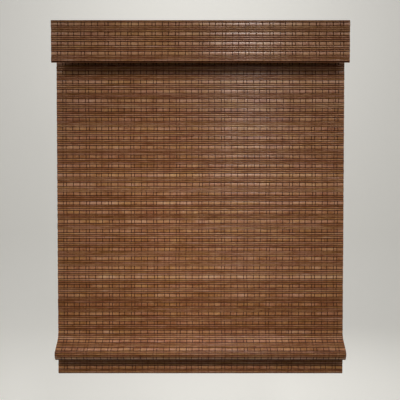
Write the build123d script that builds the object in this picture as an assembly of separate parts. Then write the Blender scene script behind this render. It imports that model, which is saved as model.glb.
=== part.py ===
from build123d import *
import os

# Woven bamboo roman shade, lowered, with a sprung lift tube behind its valance.
# Millimetres: X runs across the shade, -Y faces the room, +Z is up.
# The origin is on the board's top face, midway between its two fixing holes.

# Whole shade
SHADE_WIDTH = 890.0
SHADE_DROP = 1080.0
FOLD_SPACE = 54.0
SEAT_GAP = 0.3
CUT_OVERRUN = 2.0
TURN_SLACK = 0.1

# Weave: one wide slat and a run of narrow reeds, repeated down the mat
WIDE_WIDTH = 11.4
WIDE_THICK = 1.8
REED_WIDTH = 5.8
REED_THICK = 2.4
REEDS_PER_REPEAT = 3
GROOVE_WIDTH = 1.4
THREAD_THICK = 0.9
CHORD_TURN = 25.0

# Valance
VALANCE_TOP = 0.2
VALANCE_REPEATS = 4
VALANCE_HEM_REEDS = 4
VALANCE_HEM_RADIUS = 2.3

# Mounting board
BOARD_OVERHANG = 2.0
BOARD_THICK = 18.0
BOARD_MARGIN = 2.0
BOARD_EDGE_ROUND = 1.0
HOLE_SETBACK = 24.0
HOLE_END_INSET = 70.0
HOLE_RADIUS = 2.75
HOLE_SINK_RADIUS = 5.5

# Hook and loop tapes
TAPE_THICK = 1.2
TAPE_END_INSET = 10.0
VALANCE_TAPE_HEIGHT = 14.0
MAT_TAPE_HEIGHT = 20.0

# Headrail and its screws
RAIL_DEPTH = 34.0
RAIL_HEIGHT = 36.0
RAIL_WALL = 1.4
RAIL_LIP = 3.0
RAIL_SCREW_END_INSET = 86.0
RAIL_SCREW_RADIUS = 2.0
RAIL_SCREW_LENGTH = 13.0
RAIL_SCREW_HEAD_RADIUS = 3.8
RAIL_SCREW_HEAD_HEIGHT = 1.9
SCREW_CLEARANCE = 0.1

# End caps
CAP_THICK = 2.0
CAP_ROUND = 3.0
CAP_BOSS_RADIUS = 7.0
CAP_BOSS_LENGTH = 8.0

# Lift tube and what turns with it
AXIS_DROP = 19.0
TUBE_RADIUS = 8.0
TUBE_WALL = 1.0
TUBE_END_GAP = 2.0
RUNNING_GAP = 0.05
PLUG_LENGTH = 16.0
PLUG_FLANGE = 1.2
IDLER_PIN_RADIUS = 3.0
SPOOL_CORE_RADIUS = 10.2
SPOOL_FLANGE_RADIUS = 14.4
SPOOL_FLANGE = 1.6
SPOOL_WIDTH = 18.0

# Spring inside the tube
ROD_RADIUS = 2.5
ROD_LENGTH = 330.0
SPRING_LENGTH = 240.0
SPRING_WIRE = 1.3
SPRING_GAP = 0.5
SPRING_COLLAR = 10.0

# Lift cords, ribs and rings
CORD_END_INSET = 115.0
CORD_DIAMETER = 1.4
CORD_GAP = 0.1
CORD_WRAP = 200.0
KNOT_RADIUS = 2.0
FOLD_COUNT = 5
REPEATS_ABOVE_FOLDS = 2
RIB_HEIGHT = 12.0
RIB_THICK = 3.0
RIB_END_INSET = 10.0
RIB_ROUND = 1.0
RING_THICK = 2.0
RING_WALL = 2.0
RING_FOOT_WIDTH = 6.0

# Bottom pleat, hem and bar
MAT_TOP = 21.3
PLEAT_OPENING = 64.0
PLEAT_ENTRY_RADIUS = 30.0
PLEAT_NOSE_REACH = 41.5
PLEAT_NOSE_DROP = 57.0
PLEAT_NOSE_RADIUS = 11.0
PLEAT_HEEL_REACH = 31.5
PLEAT_HEEL_DROP = 25.5
PLEAT_HEEL_RADIUS = 11.0
PLEAT_RETURN_RADIUS = 4.0
HEM_HEIGHT = 71.0
HEM_BACK_HEIGHT = 18.0
BAR_HEIGHT = 32.0
BAR_THICK = 5.0
BAR_END_INSET = 6.0
BAR_ROUND = 1.0
ANCHOR_WIDTH = 10.0
ANCHOR_HEIGHT = 8.0
ANCHOR_BEHIND_CORD = 3.5
ANCHOR_BORE_GAP = 0.2

# Places that follow from the sizes above
REPEAT = WIDE_WIDTH + REEDS_PER_REPEAT * REED_WIDTH
HALF_MAT = REED_THICK / 2
BOARD_FRONT = -HOLE_SETBACK
HOLE_SPACING = SHADE_WIDTH - 2 * HOLE_END_INSET
VALANCE_Y = BOARD_FRONT - 2 * TAPE_THICK - HALF_MAT
MAT_Y = VALANCE_Y + FOLD_SPACE
MAT_BACK = MAT_Y + HALF_MAT
RAIL_FRONT = MAT_BACK + 2 * TAPE_THICK
RAIL_BACK = RAIL_FRONT + RAIL_DEPTH
BOARD_BACK = RAIL_BACK + BOARD_MARGIN
RAIL_TOP_Z = -BOARD_THICK
RAIL_LENGTH = SHADE_WIDTH - 2 * CAP_THICK
AXIS_Y = RAIL_FRONT + RAIL_DEPTH / 2
AXIS_Z = RAIL_TOP_Z - AXIS_DROP
TUBE_HALF = RAIL_LENGTH / 2 - CAP_BOSS_LENGTH - TUBE_END_GAP
TUBE_BORE = TUBE_RADIUS - TUBE_WALL
CORD_RADIUS = CORD_DIAMETER / 2
CORD_WIND_RADIUS = SPOOL_CORE_RADIUS + CORD_RADIUS + CORD_GAP
CORD_Y = AXIS_Y - CORD_WIND_RADIUS
CORD_SPREAD = SHADE_WIDTH / 2 - CORD_END_INSET
CORD_PLACES = {"left": -CORD_SPREAD, "centre": 0, "right": CORD_SPREAD}
RIB_FRONT = MAT_BACK + SEAT_GAP
RIB_BACK = RIB_FRONT + RIB_THICK
FIRST_FOLD_Z = -MAT_TOP - REPEATS_ABOVE_FOLDS * REPEAT
PLEAT_RETURN_Z = HEM_HEIGHT - SHADE_DROP
PLEAT_TOP_Z = PLEAT_RETURN_Z + PLEAT_OPENING
REPEATS_PER_FOLD = int((FIRST_FOLD_Z - PLEAT_TOP_Z) / (FOLD_COUNT * REPEAT))
FOLD_PITCH = REPEATS_PER_FOLD * REPEAT
POCKET_PITCH = REED_THICK + BAR_THICK + 2 * SEAT_GAP
HEM_CORNER_Z = HALF_MAT - SHADE_DROP
BAR_FRONT = MAT_BACK + SEAT_GAP
BAR_BACK = BAR_FRONT + BAR_THICK
BAR_BOTTOM_Z = HEM_CORNER_Z + POCKET_PITCH / 2
BAR_TOP_Z = BAR_BOTTOM_Z + BAR_HEIGHT
ANCHOR_TOP_Z = BAR_TOP_Z - BAR_ROUND
ANCHOR_FOOT_Z = ANCHOR_TOP_Z - ANCHOR_HEIGHT
KNOT_Z = ANCHOR_FOOT_Z - KNOT_RADIUS - CORD_GAP


def block(x, y, z):
    """Box from its (low, high) pairs on each axis."""
    low = (x[0], y[0], z[0])
    return Pos(*low) * Box(x[1] - x[0], y[1] - y[0], z[1] - z[0], align=(Align.MIN,) * 3)


def across(width):
    """(low, high) pair centred on the shade's middle."""
    return (-width / 2, width / 2)


def turned(outline):
    """Round piece about the lift tube's axis, from (x, radius) points."""
    face = make_face(Polyline(*outline, close=True))
    return Pos(0, AXIS_Y, AXIS_Z) * revolve(face, Axis.X)


def sleeve(start, end, inner, outer):
    """Plain tube about the lift tube's axis."""
    return turned([(start, inner), (end, inner), (end, outer), (start, outer)])


def upright(x, y, z, radius):
    """Upright round bar over a (low, high) pair of heights."""
    bar = Cylinder(radius, z[1] - z[0], align=(Align.CENTER, Align.CENTER, Align.MIN))
    return Pos(x, y, z[0]) * bar


def woven_wall(path, first_slat, repeats):
    """Ridged wall of slats and reeds laid along a (y, z) path, as wide as the shade.

    After the given number of repeats only reeds follow.
    """
    reed = (REED_WIDTH, REED_THICK)
    pattern = [(WIDE_WIDTH, WIDE_THICK)] + REEDS_PER_REPEAT * [reed]
    front, back = [], []

    def slat(index):
        repeat, place = divmod(index, len(pattern))
        return reed if repeat > repeats else pattern[place]

    def station(along, thick):
        here = path.position_at(along, position_mode=PositionMode.LENGTH)
        heading = path.tangent_at(along, position_mode=PositionMode.LENGTH)
        side = Vector(heading.Y, -heading.X) * (thick / 2)
        front.append(here + side)
        back.append(here - side)

    start, index = 0, first_slat
    width, thick = slat(index)
    while start + width <= path.length:
        begin = start + GROOVE_WIDTH / 2
        end = start + width - GROOVE_WIDTH / 2
        before = path.tangent_at(begin, position_mode=PositionMode.LENGTH)
        after = path.tangent_at(end, position_mode=PositionMode.LENGTH)
        chords = 1 + int(before.get_angle(after) / CHORD_TURN)
        if start:
            station(start, THREAD_THICK)
        for step in range(chords + 1):
            station(begin + (end - begin) * step / chords, thick)
        start, index = start + width, index + 1
        width, thick = slat(index)
    outline = make_face(Polyline(*front, *reversed(back), close=True))
    return extrude(Plane.YZ * outline, SHADE_WIDTH / 2, both=True)


def shade_mat():
    """The whole folding mat: flat drop, bottom pleat, hem and its turned-up pocket."""
    back_y = MAT_Y + POCKET_PITCH
    corners = [
        (MAT_Y, -MAT_TOP),
        (MAT_Y, PLEAT_TOP_Z),
        (MAT_Y - PLEAT_NOSE_REACH, PLEAT_TOP_Z - PLEAT_NOSE_DROP),
        (MAT_Y - PLEAT_HEEL_REACH, PLEAT_RETURN_Z - PLEAT_HEEL_DROP),
        (MAT_Y, PLEAT_RETURN_Z),
        (MAT_Y, HEM_CORNER_Z),
        (back_y, HEM_CORNER_Z),
        (back_y, HEM_BACK_HEIGHT - SHADE_DROP),
    ]
    pocket_radius = POCKET_PITCH / 2 - TURN_SLACK
    radii = [
        PLEAT_ENTRY_RADIUS,
        PLEAT_NOSE_RADIUS,
        PLEAT_HEEL_RADIUS,
        PLEAT_RETURN_RADIUS,
        pocket_radius,
        pocket_radius,
    ]
    path = FilletPolyline(*corners, radius=radii)
    return woven_wall(path, 0, int(path.length / REPEAT))


def valance():
    """Short woven flap with its lower edge turned up behind."""
    corner_z = -VALANCE_TOP - REED_WIDTH - VALANCE_REPEATS * REPEAT - VALANCE_HEM_RADIUS
    back_y = VALANCE_Y + 2 * VALANCE_HEM_RADIUS
    corners = [
        (VALANCE_Y, -VALANCE_TOP),
        (VALANCE_Y, corner_z),
        (back_y, corner_z),
        (back_y, corner_z + VALANCE_HEM_REEDS * REED_WIDTH),
    ]
    turn = VALANCE_HEM_RADIUS - TURN_SLACK
    return woven_wall(FilletPolyline(*corners, radius=[turn, turn]), REEDS_PER_REPEAT, VALANCE_REPEATS)


def mounting_board():
    """White board with two sunk fixing holes and blind holes for the headrail's screws."""
    width = SHADE_WIDTH + 2 * BOARD_OVERHANG
    board = block(across(width), (BOARD_FRONT, BOARD_BACK), (RAIL_TOP_Z, 0))
    board = fillet(board.edges().filter_by(Axis.Z), BOARD_EDGE_ROUND)
    sink_depth = HOLE_SINK_RADIUS - HOLE_RADIUS
    sink = Cone(HOLE_SINK_RADIUS, HOLE_RADIUS, sink_depth, align=(Align.CENTER, Align.CENTER, Align.MIN))
    for x in across(HOLE_SPACING):
        board -= upright(x, 0, (RAIL_TOP_Z - CUT_OVERRUN, CUT_OVERRUN), HOLE_RADIUS)
        board -= Pos(x, 0, RAIL_TOP_Z) * sink
    pilot = RAIL_SCREW_RADIUS + SCREW_CLEARANCE
    reach = RAIL_TOP_Z - RAIL_WALL + RAIL_SCREW_LENGTH + SCREW_CLEARANCE
    for x in rail_screw_places():
        board -= upright(x, AXIS_Y, (RAIL_TOP_Z - CUT_OVERRUN, reach), pilot)
    return board


def rail_screw_places():
    """Where the headrail's screws stand along it, clear of the spools."""
    outer = RAIL_LENGTH / 2 - RAIL_SCREW_END_INSET
    inner = CORD_SPREAD / 2
    return [-outer, -inner, inner, outer]


def headrail():
    """Channel open below, with lips turned in along both lower edges."""
    inner_front = RAIL_FRONT + RAIL_WALL
    inner_back = RAIL_BACK - RAIL_WALL
    bottom = RAIL_TOP_Z - RAIL_HEIGHT
    outline = Polyline(
        (RAIL_FRONT, RAIL_TOP_Z),
        (RAIL_BACK, RAIL_TOP_Z),
        (RAIL_BACK, bottom),
        (inner_back - RAIL_LIP, bottom),
        (inner_back - RAIL_LIP, bottom + RAIL_WALL),
        (inner_back, bottom + RAIL_WALL),
        (inner_back, RAIL_TOP_Z - RAIL_WALL),
        (inner_front, RAIL_TOP_Z - RAIL_WALL),
        (inner_front, bottom + RAIL_WALL),
        (inner_front + RAIL_LIP, bottom + RAIL_WALL),
        (inner_front + RAIL_LIP, bottom),
        (RAIL_FRONT, bottom),
        close=True,
    )
    rail = extrude(Plane.YZ * make_face(outline), RAIL_LENGTH / 2, both=True)
    for x in rail_screw_places():
        through = (RAIL_TOP_Z - RAIL_WALL - CUT_OVERRUN, RAIL_TOP_Z + CUT_OVERRUN)
        rail -= upright(x, AXIS_Y, through, RAIL_SCREW_RADIUS + SCREW_CLEARANCE)
    return rail


def headrail_screws():
    """Pan-head screws up through the headrail into the board."""
    seat = RAIL_TOP_Z - RAIL_WALL
    screws = []
    for x in rail_screw_places():
        shank = upright(x, AXIS_Y, (seat, seat + RAIL_SCREW_LENGTH), RAIL_SCREW_RADIUS)
        head = upright(x, AXIS_Y, (seat - RAIL_SCREW_HEAD_HEIGHT, seat), RAIL_SCREW_HEAD_RADIUS)
        screws.append(shank + head)
    return Compound(screws)


def end_cap(side):
    """Moulded cap on the headrail's end, with a boss that carries the lift tube; side is -1 or 1."""
    inner = side * RAIL_LENGTH / 2
    outer = side * SHADE_WIDTH / 2
    bottom = RAIL_TOP_Z - RAIL_HEIGHT
    plate = block(sorted((inner, outer)), (RAIL_FRONT, RAIL_BACK), (bottom, RAIL_TOP_Z))
    lower = plate.edges().filter_by(Axis.X).group_by(Axis.Z)[0]
    plate = fillet(lower, CAP_ROUND)
    boss_end = inner - side * CAP_BOSS_LENGTH
    boss = sleeve(*sorted((inner, boss_end)), 0, CAP_BOSS_RADIUS)
    bore = ROD_RADIUS if side < 0 else IDLER_PIN_RADIUS + RUNNING_GAP
    hole = sleeve(*sorted((inner, boss_end - side * CUT_OVERRUN)), 0, bore)
    return plate + boss - hole


def spring_rod():
    """Still rod that the spring winds round, held in the left cap's boss."""
    start = -RAIL_LENGTH / 2
    return sleeve(start, start + ROD_LENGTH, 0, ROD_RADIUS)


def tube_bush():
    """Flanged bush in the tube's left end, running on the still rod."""
    return turned(plug_outline(-1, ROD_RADIUS + RUNNING_GAP))


def idler_plug():
    """Plug in the tube's right end, with the pin that turns in the right cap."""
    plug = turned(plug_outline(1, 0))
    tip = RAIL_LENGTH / 2 - SEAT_GAP
    return plug + sleeve(TUBE_HALF, tip, 0, IDLER_PIN_RADIUS)


def plug_outline(side, bore):
    """(x, radius) points of a flanged plug in the tube's end; side is -1 or 1."""
    inner = side * (TUBE_HALF - PLUG_LENGTH)
    outer = side * (TUBE_HALF + PLUG_FLANGE)
    shoulder = side * TUBE_HALF
    body = TUBE_BORE - RUNNING_GAP
    return [
        (inner, bore),
        (outer, bore),
        (outer, TUBE_RADIUS),
        (shoulder, TUBE_RADIUS),
        (shoulder, body),
        (inner, body),
    ]


def spring_places():
    """Start and end of the spring along the tube."""
    start = PLUG_LENGTH + SPRING_COLLAR + SEAT_GAP - TUBE_HALF
    return start, start + SPRING_LENGTH


def spring_anchor():
    """Collar on the still rod that holds the spring's left end."""
    start = spring_places()[0]
    return sleeve(start - SPRING_COLLAR, start, ROD_RADIUS, ROD_RADIUS + SPRING_GAP + SPRING_WIRE)


def torsion_spring():
    """Close-wound lift spring, its turns as one sleeve round the rod."""
    inner = ROD_RADIUS + SPRING_GAP
    return sleeve(*spring_places(), inner, inner + SPRING_WIRE)


def spring_driver():
    """Plug fixed in the tube that takes the spring's right end."""
    start = spring_places()[1] + SEAT_GAP
    return sleeve(start, start + SPRING_COLLAR, ROD_RADIUS + RUNNING_GAP, TUBE_BORE - RUNNING_GAP)


def spool(x):
    """Flanged cord spool on the lift tube."""
    rim, groove = SPOOL_WIDTH / 2, SPOOL_WIDTH / 2 - SPOOL_FLANGE
    bore = TUBE_RADIUS + RUNNING_GAP
    return turned([
        (x - rim, bore),
        (x + rim, bore),
        (x + rim, SPOOL_FLANGE_RADIUS),
        (x + groove, SPOOL_FLANGE_RADIUS),
        (x + groove, SPOOL_CORE_RADIUS),
        (x - groove, SPOOL_CORE_RADIUS),
        (x - groove, SPOOL_FLANGE_RADIUS),
        (x - rim, SPOOL_FLANGE_RADIUS),
    ])


def lift_cord(x):
    """Cord from round its spool, straight down through the rings, to a knot under its anchor."""
    foot = (CORD_Y, KNOT_Z)
    rise = Line(foot, (CORD_Y, AXIS_Z))
    wrap = CenterArc((AXIS_Y, AXIS_Z), CORD_WIND_RADIUS, 180, -CORD_WRAP)
    run = Pos(x, 0, 0) * (Plane.YZ * Wire([rise.edge(), wrap.edge()]))
    cord = sweep(Plane((x, *foot)) * Circle(CORD_RADIUS), path=run)
    knot = upright(x, CORD_Y, (KNOT_Z - KNOT_RADIUS, KNOT_Z + KNOT_RADIUS), KNOT_RADIUS)
    return cord + knot


def rib_batten(z):
    """Flat batten behind the mat at a fold line."""
    height = (z - RIB_HEIGHT / 2, z + RIB_HEIGHT / 2)
    batten = block(across(SHADE_WIDTH - 2 * RIB_END_INSET), (RIB_FRONT, RIB_BACK), height)
    return fillet(batten.edges().filter_by(Axis.X).group_by(Axis.Y)[-1], RIB_ROUND)


def cord_rings(z):
    """Row of flat moulded rings on a batten's back, one for each cord."""
    reach = CORD_Y - RIB_BACK
    height = (z - RING_THICK / 2, z + RING_THICK / 2)
    through = (height[0] - CUT_OVERRUN, height[1] + CUT_OVERRUN)
    rings = []
    for x in CORD_PLACES.values():
        foot_width = (x - RING_FOOT_WIDTH / 2, x + RING_FOOT_WIDTH / 2)
        foot = block(foot_width, (RIB_BACK, CORD_Y), height)
        eye = upright(x, CORD_Y, through, reach - RING_WALL)
        rings.append(upright(x, CORD_Y, height, reach) + foot - eye)
    return Compound(rings)


def bottom_bar():
    """Flat wooden bar in the hem's pocket."""
    width = across(SHADE_WIDTH - 2 * BAR_END_INSET)
    bar = block(width, (BAR_FRONT, BAR_BACK), (BAR_BOTTOM_Z, BAR_TOP_Z))
    return fillet(bar.edges().filter_by(Axis.X), BAR_ROUND)


def cord_anchor(x):
    """Moulded block on the bar's back that the cord is knotted under."""
    width = (x - ANCHOR_WIDTH / 2, x + ANCHOR_WIDTH / 2)
    anchor = block(width, (BAR_BACK, CORD_Y + ANCHOR_BEHIND_CORD), (ANCHOR_FOOT_Z, ANCHOR_TOP_Z))
    bore = (ANCHOR_FOOT_Z - CUT_OVERRUN, ANCHOR_TOP_Z + CUT_OVERRUN)
    return anchor - upright(x, CORD_Y, bore, CORD_RADIUS + ANCHOR_BORE_GAP)


def tapes(front, top, height, names):
    """Two tapes face to face, the first against what is in front of them."""
    width = across(SHADE_WIDTH - 2 * TAPE_END_INSET)
    depth = {names[0]: front, names[1]: front + TAPE_THICK}
    return {name: block(width, (y, y + TAPE_THICK), (top - height, top)) for name, y in depth.items()}


def nodes():
    """Every node's name and shape."""
    found = {
        "mounting_board": mounting_board(),
        "headrail": headrail(),
        "headrail_screws": headrail_screws(),
        "end_cap_left": end_cap(-1),
        "end_cap_right": end_cap(1),
        "valance": valance(),
        "shade_mat": shade_mat(),
        "lift_tube": sleeve(-TUBE_HALF, TUBE_HALF, TUBE_BORE, TUBE_RADIUS),
        "tube_bush": tube_bush(),
        "idler_plug": idler_plug(),
        "spring_rod": spring_rod(),
        "spring_anchor": spring_anchor(),
        "torsion_spring": torsion_spring(),
        "spring_driver": spring_driver(),
        "bottom_bar": bottom_bar(),
    }
    valance_tape_top = -(BOARD_THICK - VALANCE_TAPE_HEIGHT) / 2
    found.update(tapes(VALANCE_Y + HALF_MAT, valance_tape_top, VALANCE_TAPE_HEIGHT,
                       ("valance_loop_tape", "valance_hook_tape")))
    mat_tape_top = RAIL_TOP_Z - (RAIL_HEIGHT - MAT_TAPE_HEIGHT) / 2
    found.update(tapes(MAT_BACK, mat_tape_top, MAT_TAPE_HEIGHT, ("mat_loop_tape", "mat_hook_tape")))
    for side, x in CORD_PLACES.items():
        found[f"spool_{side}"] = spool(x)
        found[f"lift_cord_{side}"] = lift_cord(x)
        found[f"cord_anchor_{side}"] = cord_anchor(x)
    for row in range(1, FOLD_COUNT + 1):
        z = FIRST_FOLD_Z - row * FOLD_PITCH
        found[f"rib_batten_{row}"] = rib_batten(z)
        found[f"cord_rings_{row}"] = cord_rings(z)
    return found


os.makedirs("parts", exist_ok=True)
for name, shape in nodes().items():
    export_step(shape, f"parts/{name}.step")
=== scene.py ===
"""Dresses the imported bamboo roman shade, in metres.

Makes the woven strips, the cords, the finishes of the hardware, the light and the camera.
"""

import logging
import math
import random
from dataclasses import dataclass, field
from enum import Enum
from typing import Any, Iterable, Sequence, Union

import bpy
import bmesh
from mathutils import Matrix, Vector


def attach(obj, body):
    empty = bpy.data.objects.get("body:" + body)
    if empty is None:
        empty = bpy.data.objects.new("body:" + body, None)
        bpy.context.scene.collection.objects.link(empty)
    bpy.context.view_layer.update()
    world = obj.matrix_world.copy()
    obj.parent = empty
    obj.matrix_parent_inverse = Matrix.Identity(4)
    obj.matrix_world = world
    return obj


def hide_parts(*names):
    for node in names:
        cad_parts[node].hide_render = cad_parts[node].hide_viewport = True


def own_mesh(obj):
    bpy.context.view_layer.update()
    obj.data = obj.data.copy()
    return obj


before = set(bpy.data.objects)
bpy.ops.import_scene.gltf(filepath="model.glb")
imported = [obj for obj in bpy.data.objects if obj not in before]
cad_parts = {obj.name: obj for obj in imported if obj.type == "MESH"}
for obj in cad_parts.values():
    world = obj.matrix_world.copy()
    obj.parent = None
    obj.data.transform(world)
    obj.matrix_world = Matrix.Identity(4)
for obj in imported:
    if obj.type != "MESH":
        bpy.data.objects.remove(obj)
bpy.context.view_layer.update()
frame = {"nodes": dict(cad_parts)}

LOG = logging.getLogger("shade")
WEAVE_WIDTH = 0.890
LIFT_TRAVEL = 0.778
Colour = tuple[float, float, float]
Number = Union[float, int, "Wire"]


class SlatKind(Enum):
    """The two strips of bamboo in the weave."""

    REED = 0
    WIDE = 1


class Cord(Enum):
    """The three lift cords, with each one's place across the shade."""

    LEFT = -0.330
    CENTRE = 0.0
    RIGHT = 0.330


def stain(red: int, green: int, blue: int) -> Colour:
    """Turns a colour as seen on screen into the linear values that shaders take.

    Args:
        red: Screen red, 0 to 255.
        green: Screen green, 0 to 255.
        blue: Screen blue, 0 to 255.

    Returns:
        The same colour in linear light.
    """

    def linear(level: int) -> float:
        """One channel in linear light."""
        share = level / 255
        return share / 12.92 if share <= 0.04045 else ((share + 0.055) / 1.055) ** 2.4

    return linear(red), linear(green), linear(blue)


class Wire:
    """A node's output that can be used in ordinary arithmetic."""

    def __init__(self, graph: "Graph", socket: bpy.types.NodeSocket) -> None:
        """Wraps one output socket of a graph."""
        self.graph = graph
        self.socket = socket

    def _math(self, operation: str, *values: Number) -> "Wire":
        """Adds one Math node over the given values."""
        inputs = dict(enumerate(values))
        return self.graph.node("ShaderNodeMath", {"operation": operation}, inputs).out()

    def __add__(self, other: Number) -> "Wire":
        """Sum."""
        return self._math("ADD", self, other)

    __radd__ = __add__

    def __sub__(self, other: Number) -> "Wire":
        """Difference."""
        return self._math("SUBTRACT", self, other)

    def __rsub__(self, other: Number) -> "Wire":
        """Difference from a plain number."""
        return self._math("SUBTRACT", other, self)

    def __mul__(self, other: Number) -> "Wire":
        """Product."""
        return self._math("MULTIPLY", self, other)

    __rmul__ = __mul__

    def __truediv__(self, other: Number) -> "Wire":
        """Quotient."""
        return self._math("DIVIDE", self, other)

    def __pow__(self, other: Number) -> "Wire":
        """Power."""
        return self._math("POWER", self, other)

    def __mod__(self, other: Number) -> "Wire":
        """Remainder, kept positive."""
        return self._math("FLOORED_MODULO", self, other)

    def __abs__(self) -> "Wire":
        """Size without sign."""
        return self._math("ABSOLUTE", self)

    def floor(self) -> "Wire":
        """Whole part."""
        return self._math("FLOOR", self)

    def sign(self) -> "Wire":
        """Minus one, nought or one."""
        return self._math("SIGN", self)

    def below(self, other: Number) -> "Wire":
        """One where this is less than the other value."""
        return self._math("LESS_THAN", self, other)

    def equals(self, other: Number) -> "Wire":
        """One where this is within a half of the other value."""
        return abs(self - other).below(0.5)

    def zigzag(self) -> "Wire":
        """Down from one to nought and up again within each whole step."""
        return abs(self % 1.0 - 0.5) * 2.0

    def clamped(self) -> "Wire":
        """Kept between nought and one."""
        return self._math("MINIMUM", self._math("MAXIMUM", self, 0.0), 1.0)


class NodeHandle:
    """A node just added to a graph."""

    def __init__(self, graph: "Graph", node: bpy.types.Node) -> None:
        """Keeps the node beside its graph."""
        self.graph = graph
        self.node = node

    def out(self, name: Union[str, int] = 0) -> Wire:
        """Gives one of the node's outputs, by its number, name or identifier."""
        return Wire(self.graph, find_socket(self.node.outputs, name))


def find_socket(sockets: Iterable[bpy.types.NodeSocket], name: Union[str, int]) -> bpy.types.NodeSocket:
    """Finds a socket by number, identifier or name.

    Args:
        sockets: A node's inputs or outputs.
        name: The socket's place in the list, its identifier or its name.

    Returns:
        The socket.
    """
    listed = list(sockets)
    if isinstance(name, int):
        return listed[name]
    for socket in listed:
        if name in (socket.identifier, socket.name):
            return socket
    raise KeyError(f"no socket {name}: {[s.identifier for s in listed]}")


class Graph:
    """A shader or geometry node tree under construction."""

    def __init__(self, tree: bpy.types.NodeTree) -> None:
        """Starts from an empty tree."""
        self.tree = tree

    def node(self, kind: str, settings: dict[str, Any] | None = None,
             inputs: dict[Union[str, int], Any] | None = None) -> NodeHandle:
        """Adds a node, sets it up and fills its sockets.

        Args:
            kind: The node's type name.
            settings: Properties set first; "stops" fills a colour ramp.
            inputs: Socket name, number or identifier to a value or a wire.

        Returns:
            The new node.
        """
        node = self.tree.nodes.new(kind)
        for key, value in (settings or {}).items():
            if key == "stops":
                fill_ramp(node.color_ramp, value)
            else:
                setattr(node, key, value)
        for key, value in (inputs or {}).items():
            socket = find_socket(node.inputs, key)
            for item in value if isinstance(value, list) else [value]:
                if isinstance(item, Wire):
                    self.tree.links.new(item.socket, socket)
                else:
                    socket.default_value = item
        return NodeHandle(self, node)

    def vector(self, x: Number, y: Number, z: Number) -> Wire:
        """Joins three values into a vector."""
        return self.node("ShaderNodeCombineXYZ", None, {0: x, 1: y, 2: z}).out()

    def split(self, vector: Wire) -> tuple[Wire, Wire, Wire]:
        """Splits a vector into its three values."""
        parts = self.node("ShaderNodeSeparateXYZ", None, {0: vector})
        return parts.out(0), parts.out(1), parts.out(2)

    def mix(self, share: Number, first: Any, second: Any) -> Wire:
        """Mixes two colours.

        Args:
            share: How much of the second colour shows.
            first: A plain colour or a wire.
            second: A plain colour or a wire.

        Returns:
            The mixed colour.
        """
        pair = [(*colour, 1.0) if isinstance(colour, tuple) else colour for colour in (first, second)]
        return self.node("ShaderNodeMix", {"data_type": "RGBA"}, {
            "Factor_Float": share, "A_Color": pair[0], "B_Color": pair[1]}).out("Result_Color")

    def shown(self) -> Wire:
        """Tells rays that look at a surface from rays that light it.

        Returns:
            One for a look, straight, mirrored or through, and nought for light.
        """
        rays = self.node("ShaderNodeLightPath")
        looks = rays.out("Is Camera Ray") + rays.out("Is Glossy Ray") + rays.out("Is Transmission Ray")
        return looks.clamped()

    def noise(self, where: Wire, detail: float = 3.0, rough: float = 0.55) -> Wire:
        """Cloud noise at the given coordinates, about 0.5 in the middle."""
        return self.node("ShaderNodeTexNoise", None, {
            "Vector": where, "Scale": 1.0, "Detail": detail, "Roughness": rough}).out("Fac")


def fill_ramp(ramp: bpy.types.ColorRamp, stops: Sequence[tuple[float, Colour]]) -> None:
    """Gives a colour ramp its stops.

    Args:
        ramp: The ramp to fill.
        stops: Places from 0 to 1 with linear colours.
    """
    while len(ramp.elements) < len(stops):
        ramp.elements.new(1.0)
    for element, (place, colour) in zip(ramp.elements, stops):
        element.position = place
        element.color = (*colour, 1.0)


class Shader(Graph):
    """A material's node tree around one Principled shader."""

    def __init__(self, name: str) -> None:
        """Makes the material and its shader.

        Args:
            name: The material's name.
        """
        self.material = bpy.data.materials.new(name)
        self.material.use_nodes = True
        super().__init__(self.material.node_tree)
        self.tree.nodes.clear()
        self.surface = self.node("ShaderNodeBsdfPrincipled")
        self.node("ShaderNodeOutputMaterial", None, {"Surface": self.surface.out("BSDF")})
        self.place = self.node("ShaderNodeTexCoord").out("Object")

    def set(self, **values: Any) -> None:
        """Fills the Principled shader's sockets.

        Args:
            values: Socket name, with underscores for its spaces, to a number, a colour or a wire.
        """
        for key, value in values.items():
            socket = find_socket(self.surface.node.inputs, key.replace("_", " "))
            if isinstance(value, Wire):
                self.tree.links.new(value.socket, socket)
            else:
                socket.default_value = (*value, 1.0) if isinstance(value, tuple) else value

    def stretched(self, x: float, y: float, z: float, shift: Number = 0.0) -> Wire:
        """Object coordinates scaled along each axis, slid along X by a shift."""
        px, py, pz = self.split(self.place)
        return self.vector(px * x + shift, py * y, pz * z)

    def attribute(self, name: str) -> Wire:
        """A value that the mesh carries."""
        return self.node("ShaderNodeAttribute", {"attribute_name": name}).out("Fac")

    def ramp(self, share: Wire, stops: Sequence[tuple[float, Colour]]) -> Wire:
        """A colour looked up along a ramp."""
        return self.node("ShaderNodeValToRGB", {"stops": stops}, {"Fac": share}).out("Color")

    def bump(self, height: Wire, depth: float, strength: float = 1.0) -> None:
        """Feeds a height from 0 to 1, as deep as given in metres, to the shader's normal."""
        self.set(Normal=self.node("ShaderNodeBump", None, {
            "Strength": strength, "Distance": depth, "Height": height}).out("Normal"))


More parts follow.
